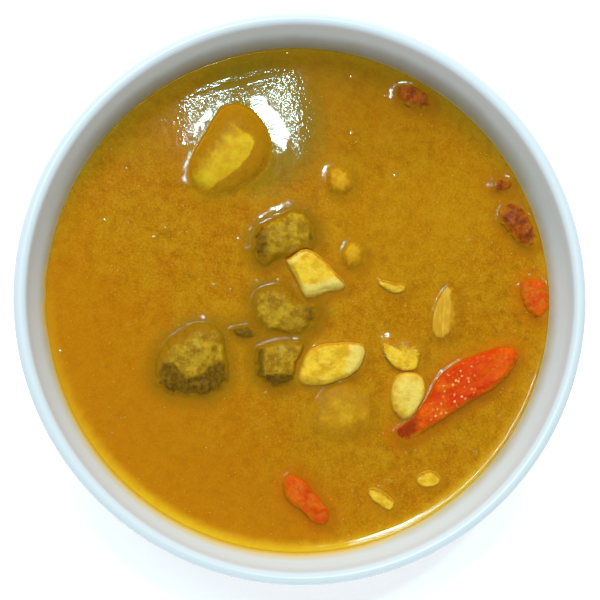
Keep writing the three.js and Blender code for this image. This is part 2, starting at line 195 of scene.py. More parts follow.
class Paintwork:
    """One node material under construction."""

    def __init__(self, name):
        self.material = bpy.data.materials.new(name)
        self.material.use_nodes = True
        self.tree = self.material.node_tree
        self.tree.nodes.clear()

    def add(self, kind, settings=None, inputs=None):
        return add_node(self.tree, kind, settings, inputs)

    def wire(self, kind, settings=None, inputs=None, output=0):
        return Wire(self, self.add(kind, settings, inputs).outputs[output])

    def place(self):
        """The place on the object, in millimetres."""
        metres = self.wire("ShaderNodeTexCoord", output="Object")
        return self.wire("ShaderNodeVectorMath", {"operation": "SCALE"}, {0: metres, "Scale": 1 / MM})

    def axes(self, place):
        node = self.add("ShaderNodeSeparateXYZ", {}, {0: place})
        return [Wire(self, output) for output in node.outputs]

    def moved(self, place, rotation=(0, 0, 0), scale=(1, 1, 1)):
        """The place turned and stretched round the object's origin."""
        inputs = {"Vector": place, "Rotation": rotation, "Scale": scale}
        return self.wire("ShaderNodeMapping", {}, inputs)

    def cloud(self, place, size, detail=2.0, roughness=0.5):
        """Soft noise from 0 to 1 whose lumps are about size millimetres across."""
        return self.wire("ShaderNodeTexNoise", {}, {
            "Vector": place, "Scale": 1 / size, "Detail": detail, "Roughness": roughness,
        })

    def cells(self, place, size):
        """The distance to scattered points that lie about size millimetres apart."""
        return self.wire("ShaderNodeTexVoronoi", {}, {"Vector": place, "Scale": 1 / size})

    def ease(self, value, low, high, to_low=0.0, to_high=1.0):
        """A smooth step from to_low to to_high while value goes from low to high."""
        return self.wire("ShaderNodeMapRange", {"interpolation_type": "SMOOTHSTEP"}, {
            "Value": value, "From Min": low, "From Max": high, "To Min": to_low, "To Max": to_high,
        })

    def blend(self, factor, first, second):
        return self.wire("ShaderNodeMix", {"data_type": "RGBA"}, {0: factor, 6: first, 7: second}, 2)

    def laid(self, colour, *layers):
        """A colour with others laid on it, each up to a share as its value goes from low to high."""
        for value, low, high, share, upper in layers:
            colour = self.blend(self.ease(value, low, high) * share, colour, upper)
        return colour

    def attribute(self, name):
        return self.wire("ShaderNodeAttribute", {"attribute_name": name}, output="Fac")

    def bump(self, height, depth, strength=1.0, normal=None):
        """A Bump node for a relief of depth millimetres."""
        inputs = {"Height": height, "Distance": depth * MM, "Strength": strength}
        if normal is not None:
            inputs["Normal"] = normal
        return self.wire("ShaderNodeBump", {}, inputs)

    def finish(self, inputs):
        shader = self.add("ShaderNodeBsdfPrincipled", {}, inputs)
        output = self.add("ShaderNodeOutputMaterial")
        self.tree.links.new(shader.outputs[0], output.inputs[0])
        return self.material


# ---------------- mesh helpers

def add_object(name, data):
    """A new object in the scene."""
    made = bpy.data.objects.new(name, data)
    bpy.context.collection.objects.link(made)
    return made


def new_piece(name, vertices, faces):
    """A mesh object from places in millimetres."""
    mesh = bpy.data.meshes.new(name)
    places = np.asarray(vertices, dtype=float) * MM
    mesh.from_pydata(places.tolist(), [], faces)
    mesh.validate()
    mesh.shade_smooth()
    return add_object(name, mesh)


def vertex_values(piece, kind):
    flat = np.empty(len(piece.data.vertices) * 3)
    piece.data.vertices.foreach_get(kind, flat)
    return flat.reshape(-1, 3)


def places_of(piece):
    """A piece's vertices in millimetres."""
    return vertex_values(piece, "co") / MM


def normals_of(piece):
    return vertex_values(piece, "normal")


def set_places(piece, places):
    piece.data.vertices.foreach_set("co", (places * MM).ravel())
    piece.data.update()


def store(piece, name, values):
    """Keeps one number a vertex on the piece for its material to read."""
    layer = piece.data.attributes.new(name, "FLOAT", "POINT")
    layer.data.foreach_set("value", np.asarray(values, dtype=np.float32))


def bake_modifiers(piece):
    """Turns what the modifiers make into the piece's own mesh."""
    graph = bpy.context.evaluated_depsgraph_get()
    made = bpy.data.meshes.new_from_object(piece.evaluated_get(graph), depsgraph=graph)
    piece.modifiers.clear()
    piece.data = made
    made.shade_smooth()


def dress(piece, material, slot, *nodes):
    piece.data.materials.clear()
    piece.data.materials.append(material)
    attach(piece, BODY)
    if nodes:
        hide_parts(*nodes)


def edges_of(piece):
    """The two ends of every edge of a piece."""
    flat = np.empty(len(piece.data.edges) * 2, dtype=np.int64)
    piece.data.edges.foreach_get("vertices", flat)
    return flat[0::2], flat[1::2]


def ripple(places, size, seed, stretch=(1, 1, 1), turn=0):
    """Soft noise from -1 to 1 at each place, with lumps of about size millimetres."""
    cos, sin = math.cos(turn), math.sin(turn)
    turned = places @ np.array([(cos, -sin, 0), (sin, cos, 0), (0, 0, 1)])
    scaled = turned * (np.array(stretch) / size) + seed * 17.31
    return np.array([noise.noise(Vector(place)) for place in scaled])


def ridges(places, size, seed, stretch=(1, 1, 1), turn=0):
    """Narrow creases of noise: 1 along their lines and falling to about 0 between them."""
    return 1 - np.clip(np.abs(ripple(places, size, seed, stretch, turn)) * 2.5, 0, 1)


def facing(turn, degrees):
    """1 where a turn points in a direction, falling to 0 where it points away from it."""
    return (0.5 + 0.5 * np.cos(turn - math.radians(degrees))) ** 2


def smoothstep(low, high, value):
    share = np.clip((value - low) / (high - low), 0, 1)
    return share * share * (3 - 2 * share)


# ---------------- the bowl

MIDLINE = np.array([
    (0, BASE_MID_HEIGHT),
    (BELLY_FLAT, BASE_MID_HEIGHT),
    (BELLY_RADIUS, BELLY_HEIGHT),
    (RIM_RADIUS - WALL / 2, BOWL_HEIGHT - WALL / 2),
])


def wall_frame(fraction):
    """The midline's point, its direction and the direction out of the bowl."""
    a, b, c, d = MIDLINE
    rest = 1 - fraction
    point = a * rest**3 + 3 * b * fraction * rest**2 + 3 * c * fraction**2 * rest + d * fraction**3
    along = (b - a) * rest**2 + 2 * (c - b) * fraction * rest + (d - c) * fraction**2
    along = along / np.linalg.norm(along)
    return point, along, np.array((along[1], -along[0]))


def wall_point(fraction, distance):
    point, _, outward = wall_frame(fraction)
    return point + outward * distance


def inner_radius(height):
    """The inner wall's radius at a height above the ground."""
    low, high = 0.0, 1.0
    for _ in range(40):
        middle = (low + high) / 2
        if wall_point(middle, -WALL / 2)[1] < height:
            low = middle
        else:
            high = middle
    return wall_point(low, -WALL / 2)[0]


def rounded(corner, before, after, radius, steps=5):
    """Points round a corner of a profile."""
    corner, before, after = np.array(corner), np.array(before), np.array(after)
    start = corner + (before - corner) / np.linalg.norm(before - corner) * radius
    end = corner + (after - corner) / np.linalg.norm(after - corner) * radius
    shares = np.linspace(0, 1, steps)
    return [start * (1 - s) ** 2 + 2 * corner * s * (1 - s) + end * s**2 for s in shares]


def bowl_profile():
    half = WALL / 2
    steps = 44
    foot = [
        (0, FOOT_RECESS), (FOOT_INNER, FOOT_RECESS), (FOOT_INNER + 0.6, 0),
        (FOOT_OUTER - 0.2, 0), (FOOT_OUTER, FOOT_HEIGHT), tuple(wall_point(OUTER_WALL_START, half)),
    ]
    profile = [np.array(foot[0], dtype=float)]
    for index, radius in ((1, 1.0), (2, 0.7), (3, 0.7), (4, 1.2)):
        profile += rounded(foot[index], foot[index - 1], foot[index + 1], radius)
    profile += [wall_point(f, half) for f in np.linspace(OUTER_WALL_START, 1, steps)[:-1]]
    centre, along, outward = wall_frame(1.0)
    for turn in np.linspace(0, math.pi, 17):
        profile.append(centre + outward * half * math.cos(turn) + along * half * math.sin(turn))
    profile += [wall_point(f, -half) for f in np.linspace(1, 0, steps + 12)[1:-1]]
    profile.append(np.array((0, BASE_MID_HEIGHT + half)))
    return profile


def revolve(name, profile, segments):
    """Turns a profile that starts and ends on the axis."""
    turns = np.arange(segments) * 2 * math.pi / segments
    rings = profile[1:-1]
    vertices = [(0, 0, profile[0][1])]
    for radius, height in rings:
        vertices += [(radius * math.cos(t), radius * math.sin(t), height) for t in turns]
    vertices.append((0, 0, profile[-1][1]))
    top = len(vertices) - 1
    last = 1 + (len(rings) - 1) * segments
    faces = []
    for side in range(segments):
        beside = (side + 1) % segments
        faces.append((0, 1 + beside, 1 + side))
        faces.append((top, last + side, last + beside))
        for ring in range(len(rings) - 1):
            low = 1 + ring * segments
            high = low + segments
            faces.append((low + side, low + beside, high + beside, high + side))
    return new_piece(name, vertices, faces)


def make_bowl():
    """The bowl. Its inner share is 1 on the faces that look up, which are the inside and the lip."""
    bowl = revolve("porcelain_bowl", bowl_profile(), 256)
    store(bowl, "inner", smoothstep(0.0, 0.1, normals_of(bowl)[:, 2]))
    return bowl


def porcelain():
    """Glossy blue-white glaze, with the curry's thin yellow film on the wall just over its edge."""
    work = Paintwork("porcelain_glaze")
    place = work.place()
    x, y, z = work.axes(place)
    over = z - LEVEL
    turn = work.wire("ShaderNodeMath", {"operation": "ARCTAN2"}, {0: y, 1: x})
    wobble = work.cloud(place, 7.0, detail=4.0, roughness=0.55) - 0.5
    streaks = work.cloud(work.moved(place, scale=(1, 1, 0.25)), 1.6, detail=3.0) - 0.5

    # The film is widest on the near side, and wide at one spot on the left.
    near_side = work.ease(abs(turn + math.radians(114)), math.radians(78), math.radians(14))
    left_spot = work.ease(abs(abs(turn) - math.radians(176)), math.radians(7), 0.0)
    reach = 1.1 + 3.6 * near_side + 2.6 * left_spot + wobble * 2.6 + streaks * 1.2
    film = work.ease(over - reach, 1.6, -1.8)
    inside = work.attribute("inner") * work.ease(x * x + y * y, LIP_END**2, LIP_START**2)
    film = film * inside
    deep = work.ease(over - reach * 0.45, 1.2, -1.0) * inside

    glaze = work.blend(work.cloud(place, 14.0) * 0.5, paint(234, 242, 246), paint(229, 238, 243))
    # The inside is painted paler and bluer than the outside, to offset the curry's warm bounce light on
    # it.
    glaze = work.blend(inside, glaze, paint(236, 246, 251))
    glaze = work.laid(glaze, (over, 9.0, 12.0, 0.8, paint(228, 231, 235)))
    # Painted shade: the faces that don't look up, outside the bowl, are painted darker.
    glaze = work.blend((1.0 - work.attribute("inner")) * 0.8, glaze, paint(200, 207, 213))
    # Painted shade: the inner wall is painted warm and dark just above the curry, as its shade and the
    # curry's bounce light, less on the near side.
    warm = work.ease(over + wobble * 2, 6.8, 0.5) * inside * (0.9 - near_side * 0.4)
    glaze = work.blend(warm, glaze, paint(196, 178, 136))
    # Painted shade: darker still on the far wall just above the curry.
    far_wall_painted_shade = work.ease(over + wobble * 2, 9.0, 5.0) * inside * work.ease(y, 15.0, 60.0)
    glaze = work.blend(far_wall_painted_shade * 0.4, glaze, paint(150, 136, 108))
    thin = work.blend(film * 0.62, glaze, paint(250, 222, 112))
    colour = work.blend(deep * 0.9, thin, paint(240, 178, 28))
    waves = work.cloud(place, 9.0, detail=1.0) * 0.7 + film * 0.6 + streaks * film * 0.5
    return work.finish({
        "Base Color": colour,
        "Roughness": 0.22 - film * 0.08,
        "IOR": 1.5,
        "Specular IOR Level": 0.3,
        "Normal": work.bump(waves, 0.12, 0.35),
    })


# ---------------- the curry's colour

def from_patch(x, y, centre, along, stretch):
    """How far a place lies from a patch that is stretched along a direction."""
    across = (x - centre[0]) * along[1] - (y - centre[1]) * along[0]
    down = (x - centre[0]) * along[0] + (y - centre[1]) * along[1]
    return (across ** 2.0 + (down / stretch) ** 2.0) ** 0.5


def curry_colour(work, place, tints):
    """The curry's fine ochre mottling. A tint is how near the place is to a kind of food, 0 to 1."""
    flat = work.moved(place, scale=(1, 1, 0.2))
    x, y, _ = work.axes(place)
    broad = work.cloud(flat, 12.0, detail=3.0, roughness=0.6)
    mottle = work.cloud(flat, 2.8, detail=5.0, roughness=0.65)
    fine = work.cloud(flat, 0.6, roughness=0.7)
    colour = work.blend(work.ease(broad, 0.38, 0.62), paint(191, 119, 1), paint(194, 129, 3))
    drift = (broad - 0.5) * 20
    sunny = from_patch(x, y, (34, 22), (1, 0.3), 1.5)
    colour = work.laid(
        colour,
        (mottle, 0.5, 0.66, 0.45, paint(206, 150, 20)),
        (mottle, 0.5, 0.34, 0.45, paint(156, 90, 1)),
        (fine, 0.5, 0.68, 0.34, paint(214, 160, 34)),
        (fine, 0.5, 0.32, 0.34, paint(146, 84, 0)),
        # Painted shade: darker towards the far side.
        (y + drift, 20, 70, 0.6, paint(156, 101, 1)),  # the far side
        # Painted light: more orange and brighter towards the near left, as the near wall's bounce
        # light.
        (x + y + drift, -20, -80, 0.6, paint(200, 119, 0)),  # the near left
        (sunny + drift, 24, 8, 0.25, paint(206, 146, 6)),
    )
    drift = (mottle - 0.5) * 0.7
    for food, shade, share in (
        ("aubergine", paint(146, 106, 3), 0.65),
        ("potato", paint(186, 132, 6), 0.3),
        ("tomato", paint(174, 100, 3), 0.45),
        ("carrot", paint(206, 104, 1), 0.55),
    ):
        if food in tints:
            closeness = work.ease(drift + tints[food], 0.45, 1.05)
            colour = work.blend(closeness * share, colour, shade)
    return colour


def curry_relief(work, place, calm, swelling):
    """The height in millimetres of the curry's fine grain and of its wider swell."""
    flat = work.moved(place, scale=(1, 1, 0.2))
    grain = work.cloud(flat, 0.9, detail=1.0)
    swell = work.cloud(flat, 2.6, detail=1.0)
    return grain * calm * 0.03 + swell * swelling * 0.03


# ---------------- the food

def still_height(x, y):
    """The curry's surface before its waves, and before it climbs up the pieces."""
    from_wall = inner_radius(LEVEL) - np.hypot(x, y)
    return LEVEL + MENISCUS_HEIGHT * np.exp(-from_wall / MENISCUS_WIDTH)


def smoothed(piece, places, rounds):
    """The places after some rounds of averaging with their neighbours."""
    first, second = edges_of(piece)
    count = np.bincount(first, minlength=len(places)) + np.bincount(second, minlength=len(places))
    for _ in range(rounds):
        total = np.zeros_like(places)
        np.add.at(total, first, places[second])
        np.add.at(total, second, places[first])
        places = (places + total / count[:, None]) / 2
    return places


def refined(node, rounds):
    """A finely and evenly meshed copy of a solid with its edges rounded, as a piece of its own."""
    piece = add_object(node + "_food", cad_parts[node].data.copy())
    shape = bmesh.new()
    shape.from_mesh(piece.data)
    bmesh.ops.remove_doubles(shape, verts=shape.verts, dist=0.01 * MM)
    shape.transform(Matrix.Scale(1 / MM, 4))
    shape.to_mesh(piece.data)
    shape.free()
    grid = piece.modifiers.new("even_mesh", "REMESH")
    grid.mode = "VOXEL"
    grid.voxel_size = VOXEL
    bake_modifiers(piece)
    set_places(piece, smoothed(piece, places_of(piece) * MM, rounds))
    return piece


def weather(piece, lift, *layers):
    """Moves what stands near or over the curry by a lift and layers of noise, as in RELIEFS."""
    places = places_of(piece)
    shown = places[:, 2] > RELIEF_STARTS
    moved = places[shown]
    relief = sum(kind(moved, *settings) * height for kind, height, *settings in layers) + lift
    fade = smoothstep(RELIEF_STARTS, RELIEF_FULL, moved[:, 2])
    places[shown] = moved + normals_of(piece)[shown] * (relief * fade)[:, None]
    set_places(piece, places)


def pits(places, size, seed):
    """Small pits: over 0 in them and 0 between them."""
    return np.clip(ripple(places, size, seed) - 0.2, 0, 1)


# The surface of each kind of food, and of the pieces that differ from their kind: its lift in
# millimetres and its layers of noise. A layer has its kind of noise, its height and its size in
# millimetres, its seed and, where it needs them, its stretch and its turn.
LUMPY = (0.0, (ripple, 0.28, 2.4, 45), (ripple, 0.18, 1.0, 47))
FIBROUS = (  # strands that run down the piece, with a few deep folds
    0.1, (ripple, 0.14, 0.9, 29, (1, 0.3, 1), 0.2), (ridges, -0.4, 3.6, 24, (1, 0.4, 1), 0.2),
    (ripple, 0.25, 2.6, 31),
)
RELIEFS = {
    "meat": (0.0, (ripple, 0.22, 4.0, 7), (ripple, 0.1, 1.5, 3, (0.4, 1, 1)), (pits, -0.35, 0.8, 5)),
    "carrot": (0.0, (ripple, 0.2, 2.6, 11), (ripple, 0.16, 1.1, 13), (ripple, 0.08, 0.6, 15)),
    "potato": (0.0, (ripple, 0.12, 4.0, 17), (ripple, 0.03, 1.2, 19)),
    "aubergine": (0.0, (ripple, 0.25, 2.4, 31), (ripple, 0.1, 0.9, 29), (ridges, -0.25, 3.2, 23)),
    "tomato": (-0.1, (ridges, 0.3, 2.2, 37), (ripple, 0.12, 0.9, 41)),
    "onion": (0.0, (ripple, 0.1, 3.0, 43, (1, 0.4, 1))),
    "lump_upper": LUMPY,
    "lump_far": LUMPY,
    "aubergine_left": FIBROUS,
    "aubergine_strip": FIBROUS,
    "aubergine_upper": (-0.1, (ripple, 0.3, 3.0, 33), (ridges, 0.3, 4.0, 35)),
}


def within(places, name):
    """Each place's share of the way across a piece's box, from 0 to 1 in X and in Y."""
    low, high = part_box(name)
    low, high = np.array(low) / MM, np.array(high) / MM
    share = (places - low) / (high - low)
    return share[:, 0], share[:, 1]


def along_line(places, start, end):
    """Each place's share of the way along a line, and how far it lies to the line's left."""
    start, end = np.array(start), np.array(end)
    length = np.linalg.norm(end - start)
    along = (end - start) / length
    offset = places[:, :2] - start
    return offset @ along / length, offset @ np.array((-along[1], along[0]))


def swath_share(places):
    """The bare yellow swath down the near potato, sharp along its lower right side."""
    share, left = along_line(places, *SWATH)
    edge = left - 1.5 * np.sin(math.pi * np.clip(share, 0, 1))
    across = smoothstep(0.6, -1.0, edge) * smoothstep(-13.0, -3.0, edge)
    return across * smoothstep(-0.08, 0.06, share) * smoothstep(1.8, 0.6, share)


def bare_share(name, piece, places):
    """How much of the piece itself shows: 0 under the film of curry, and over 1 clear of it."""
    if name == "potato_upper_left":
        return swath_share(places)
    _, _, fillet, climb, soft_climb, clear_width, soft_width, soft_side = PIECES[name]
    lift = climb + 0.8 * fillet
    inset, turn = distance_to(waterline(piece, lift), places[:, 0], places[:, 1], 12)
    over = places[:, 2] - still_height(places[:, 0], places[:, 1]) - lift
    inset = np.where(over > 0, inset, 0)
    side = facing(turn, soft_side)
    width = clear_width + (soft_width - clear_width) * side
    clear = smoothstep(0, 0.5, over - soft_climb * side * np.exp(-inset / SOFT_CLIMB_WIDTH) + 0.4)
    return np.clip(inset / width, 0, MOST_BARE.get(name, 1.3)) * clear


# The accent of the pieces that have the same one all over. The others' comes from their place.
EVEN_ACCENTS = {"aubergine_strip": 0.7, "lump_upper": 0.9, "lump_far": 0.9, "potato_low": 0.75}


def accent_share(name, places):
    """Where a piece has its second colour.

    It is an aubergine's skin, a paler cut of meat, a carrot's dark end and a warmer potato.
    """
    across, up = within(places, name)
    if name == "aubergine_left":
        return smoothstep(0.5, 0.3, up - 0.1 * np.sin(across * 9))
    # The lower aubergine is dark at its left and bottom: its skin, painted there also as the shade at
    # its base.
    if name == "aubergine_lower":
        return np.maximum(smoothstep(0.32, 0.12, across), smoothstep(0.36, 0.2, up))
    if name == "aubergine_middle":
        return np.maximum(smoothstep(0.55, 0.85, across) * 0.8, smoothstep(0.7, 0.9, up) * 0.6)
    if name == "aubergine_upper":
        return np.maximum(smoothstep(0.42, 0.1, across), smoothstep(0.75, 0.95, across)) * 0.85
    if name == "chicken_centre":
        # The slice's front face is its paler cut, and it is painted paler still as the face that the
        # light falls on.
        _, left = along_line(places, *SLICE_FRONT)
        _, above = along_line(places, *SLICE_BACK)
        return np.maximum(smoothstep(4.4, 2.4, left) * 0.9, smoothstep(-1.6, -0.6, above))
    if name == "chicken_lower":
        return smoothstep(0.62, 0.82, across)
    if name == "chicken_oval":
        return smoothstep(0.75, 0.2, np.hypot(across - 0.5, up - 0.6)) * 0.75
    if name == "carrot_long":
        return smoothstep(0.3, 0.1, across)
    return np.full(len(places), EVEN_ACCENTS.get(name, 0.0))


def piece_finish(food, name, flesh, relief, roughness, gloss, edge, blotch=(1.8, 1.3)):
    """What all pieces share: their flesh under a film of curry, and a wet surface.

    The relief is the size and the height of their surface's grain, in millimetres. The roughness
    is that of the film and that of the flesh, and the gloss is the strength of the wet coat. The
    edge is painted light: a brighter colour painted on the steep sides against their shade, for
    the light that comes through the food.
    The blotch is the width of the film's torn edge in millimetres, and how strongly it is torn.
    """
    work = Paintwork(name)
    place = work.place()
    mottle = work.cloud(place, blotch[0], detail=5.0, roughness=0.65)
    bare = work.ease(work.attribute("bare") + (mottle - 0.5) * blotch[1], 0.2, 0.8)
    film = curry_colour(work, place, {food: 1.0})
    colour = work.blend(bare, film, flesh(work, place))
    # Painted light: the steep sides are painted in the brighter edge colour, against their shade.
    colour = work.blend(work.attribute("steep") * 0.7, colour, edge)
    size, height = relief
    grain = work.cloud(place, size, detail=3.0, roughness=0.6)
    wet = work.bump(curry_relief(work, place, 1.5, 3.0), 1.0)
    return work.finish({
        "Base Color": colour,
        "Roughness": roughness[0] + bare * (roughness[1] - roughness[0]),
        "IOR": 1.38,
        "Specular IOR Level": 0.15,
        "Normal": work.bump(grain * bare, height, 1.0, wet),
        "Subsurface Weight": TRANSLUCENCY,
        "Subsurface Scale": SCATTER * MM,
        "Coat Weight": gloss,
        "Coat Roughness": 0.04,
    })


def meat_flesh(work, place):
    """Pale yellow meat with soft patches and fine strands, and paler where its accent says so."""
    patches = work.cloud(place, 3.6, detail=4.0, roughness=0.6)
    along = work.moved(place, rotation=(0, 0, 0.4), scale=(0.55, 1, 1))
    strands = work.cloud(along, 0.8, detail=4.0, roughness=0.65)
    colour = work.blend(work.ease(patches, 0.36, 0.64), paint(228, 169, 24), paint(251, 201, 50))
    return work.laid(
        colour,
        (work.attribute("accent") + (patches - 0.5) * 1.4, 0.2, 0.9, 0.9, paint(251, 214, 104)),
        (strands, 0.5, 0.68, 0.4, paint(252, 220, 108)),
        (strands, 0.48, 0.3, 0.3, paint(204, 150, 24)),
    )


def carrot_flesh(work, place):
    """Orange-red carrot with pale beads of curry on it, and dark at the end its accent names."""
    patches = work.cloud(place, 6.0, detail=3.0, roughness=0.6)
    grain = work.cloud(place, 0.8, detail=4.0, roughness=0.65)
    x, _, _ = work.axes(place)
    colour = work.blend(work.ease(patches, 0.38, 0.62), paint(222, 62, 0), paint(236, 96, 2))
    colour = work.laid(
        colour,
        (abs(x - 48.0), 8.0, 2.0, 0.55, paint(224, 50, 0)),
        (grain, 0.54, 0.7, 0.4, paint(248, 140, 24)),
        (grain, 0.46, 0.3, 0.35, paint(188, 50, 1)),
    )
    beaded = work.ease(abs(x - 43.0), 9.0, 3.0, 0.1, 1.0)
    spots = work.ease(work.cells(place, 1.5), 0.34, 0.2) * work.ease(grain, 0.42, 0.52) * beaded
    colour = work.blend(spots * 0.8, colour, paint(252, 196, 110))
    dark_end = work.attribute("accent") + (patches - 0.5) * 0.6
    return work.laid(colour, (dark_end, 0.3, 0.8, 0.8, paint(150, 50, 2)))


def potato_flesh(work, place):
    """Yellow potato, warmer where its accent says so."""
    patches = work.cloud(place, 4.0, detail=4.0, roughness=0.6)
    colour = work.blend(work.ease(patches, 0.36, 0.64), paint(216, 160, 9), paint(230, 187, 32))
    warm = work.blend(work.ease(patches, 0.4, 0.6), paint(206, 140, 7), paint(224, 163, 22))
    return work.blend(work.attribute("accent"), colour, warm)


def aubergine_flesh(work, place):
    """Granular olive-brown flesh, and dark olive skin where the piece's accent says so."""
    grain = work.cloud(place, 1.2, detail=5.0, roughness=0.65)
    patches = work.cloud(place, 3.2, detail=3.0, roughness=0.6)
    colour = work.blend(work.ease(patches, 0.36, 0.64), paint(164, 114, 8), paint(200, 154, 28))
    skin = work.blend(work.ease(grain, 0.35, 0.65), paint(90, 56, 1), paint(134, 92, 5))
    return work.laid(
        colour,
        (grain, 0.52, 0.7, 0.65, paint(214, 168, 42)),
        (grain, 0.46, 0.3, 0.6, paint(122, 76, 2)),
        (work.attribute("accent") + (patches - 0.5) * 1.4, 0.25, 0.85, 0.9, skin),
    )


def tomato_flesh(work, place):
    patches = work.cloud(place, 2.2, detail=4.0, roughness=0.65)
    return work.blend(work.ease(patches, 0.36, 0.64), paint(140, 56, 1), paint(186, 92, 6))


def onion_flesh(work, place):
    veins = work.cloud(work.moved(place, scale=(1, 0.2, 1)), 1.0, detail=3.0)
    return work.blend(work.ease(veins, 0.4, 0.7), paint(218, 156, 30), paint(234, 180, 54))


def make_finishes():
    """Each kind of food's finish, from its name, flesh, relief, roughness, gloss, edge and blotch."""
    kinds = {
        "meat": (
            "poached_meat", meat_flesh, (0.8, 0.12), (0.3, 0.6), 0.0, paint(252, 194, 60), (2.4, 0.8),
        ),
        "carrot": ("cooked_carrot", carrot_flesh, (0.8, 0.16), (0.2, 0.55), 0.0, paint(234, 92, 4)),
        "potato": (
            "soft_potato", potato_flesh, (1.2, 0.06), (0.5, 0.55), 0.0, paint(232, 164, 20), (4.5, 1.5),
        ),
        "aubergine": (
            "stewed_aubergine", aubergine_flesh, (1.0, 0.2), (0.3, 0.6), 0.02, paint(160, 112, 8),
        ),
        "tomato": ("stewed_tomato", tomato_flesh, (0.9, 0.2), (0.1, 0.4), 0.12, paint(180, 92, 6)),
        "onion": ("soft_onion", onion_flesh, (0.9, 0.1), (0.2, 0.5), 0.0, paint(240, 176, 40)),
    }
    return {food: piece_finish(food, *settings) for food, settings in kinds.items()}


def make_food():
    """Every piece of food, by its name."""
    finishes = make_finishes()
    made = {}
    for name, (food, rounds, *_) in PIECES.items():
        piece = refined(name, rounds)
        weather(piece, *RELIEFS.get(name, RELIEFS[food]))
        places = places_of(piece)
        store(piece, "bare", bare_share(name, piece, places))
        store(piece, "accent", accent_share(name, places))
        store(piece, "steep", smoothstep(0.8, 0.35, normals_of(piece)[:, 2]))
        dress(piece, finishes[food], food, name)
        made[name] = piece
    return made


# ---------------- the curry

def waterline(piece, lift=0.0):
    """The points, seen from above, where a piece's edges pass a height over the still curry."""
    places = places_of(piece)
    over = places[:, 2] - still_height(places[:, 0], places[:, 1]) - lift
    first, second = edges_of(piece)
    crossing = (over[first] > 0) != (over[second] > 0)
    first, second = first[crossing], second[crossing]
    share = over[first] / (over[first] - over[second])
    return (places[first] + (places[second] - places[first]) * share[:, None])[:, :2]


def distance_to(points, x, y, reach):
    """Each place's distance to the nearest of some points, up to reach, and the direction there."""
    found = np.full(len(x), float(reach))
    turns = np.zeros(len(x))
    low, high = points.min(axis=0) - reach, points.max(axis=0) + reach
    close = np.flatnonzero((x > low[0]) & (x < high[0]) & (y > low[1]) & (y < high[1]))
    for group in np.array_split(close, len(close) // 2000 + 1):
        across = points[:, 0] - x[group, None]
        up = points[:, 1] - y[group, None]
        gaps = np.hypot(across, up)
        nearest = gaps.argmin(axis=1)
        rows = np.arange(len(group))
        found[group] = np.minimum(reach, gaps[rows, nearest])
        turns[group] = np.arctan2(up[rows, nearest], across[rows, nearest])
    return found, turns


def top_of(piece, x, y, close):
    """The height of the piece's top at each close place, and far below the curry elsewhere."""
    tree = BVHTree.FromPolygons(
        places_of(piece).tolist(), [list(face.vertices) for face in piece.data.polygons]
    )
    down = Vector((0, 0, -1))
    found = np.full(len(x), float(LEVEL - 30))
    for index in np.flatnonzero(close):
        place = tree.ray_cast((x[index], y[index], LEVEL + 30), down)[0]
        if place is not None:
            found[index] = place.z
    return found


def lapped(height, top, fillet):
    """The curry's height where it rounds up the side of a piece, and dips away under its top."""
    over = top - height
    blend = np.clip(fillet - np.abs(over), 0, None) ** 2 / (4 * fillet)
    dip = 0.01 + 1.3 * np.clip(over - 0.85 * fillet, 0, None)
    lifted = np.maximum(height, top) + blend - np.where(over > 0, dip, 0)
    return np.where(over > -fillet, lifted, height)


def round_grid(cells):
    """A square grid bent into a disc of radius 1, with cells of one size."""
    line = np.linspace(-1, 1, cells + 1)
    u, v = np.meshgrid(line, line)
    wide = np.abs(u) > np.abs(v)
    radius = np.where(wide, u, v)
    with np.errstate(divide="ignore", invalid="ignore"):
        turn = np.where(wide, math.pi / 4 * v / u, math.pi / 2 - math.pi / 4 * u / v)
    turn = np.nan_to_num(turn)
    return (radius * np.cos(turn)).ravel(), (radius * np.sin(turn)).ravel()


def mirror_hollow(x, y):
    """The faint hollow that spreads the lamp's mirror image round the near potato's upper side.

    Gives its height, which isn't over 0, and each place's share in it from 0 to 1.
    """
    steps = np.linspace(0, 2, 200)
    slopes = steps * (1 - smoothstep(0.8, 1.1, steps))
    depths = np.cumsum(slopes) * (steps[1] - steps[0])
    away = np.hypot(x - MIRROR_SPOT[0], y - MIRROR_SPOT[1])
    turn = np.arctan2(y - MIRROR_SPOT[1], x - MIRROR_SPOT[0])
    reach = HOLLOW_REACH + HOLLOW_EXTRA_REACH * np.clip(np.cos(turn - math.radians(40)), 0, 1) ** 2
    share = np.interp(away / reach, steps, depths) - depths[-1]
    upper = smoothstep(-0.5, -0.3, np.cos(turn - math.radians(84)))
    hollow = smoothstep(1.5, 0.9, away / reach) * upper
    return reach**2 / (2 * MIRROR_FOCUS) * share * upper, hollow


def far_climb(x, y):
    """How much wider the curry climbs to the wall behind the near potato."""
    turn = np.arctan2(y, x)
    sector = smoothstep(0.75, 0.95, np.cos(turn - math.radians(FAR_DIRECTION)))
    return sector * FAR_CLIMB * np.exp((np.hypot(x, y) - inner_radius(LEVEL)) / FAR_CLIMB_WIDTH)


def open_height(x, y):
    """The surface's height with its meniscus at the wall and its low waves."""
    flat = np.column_stack((x, y, np.zeros(len(x))))
    waves = ripple(flat, 11.0, 4) * 0.03 + ripple(flat, 4.0, 6) * 0.012 + ripple(flat, 1.6, 8) * 0.006
    return still_height(x, y) + far_climb(x, y) + mirror_hollow(x, y)[0] + waves


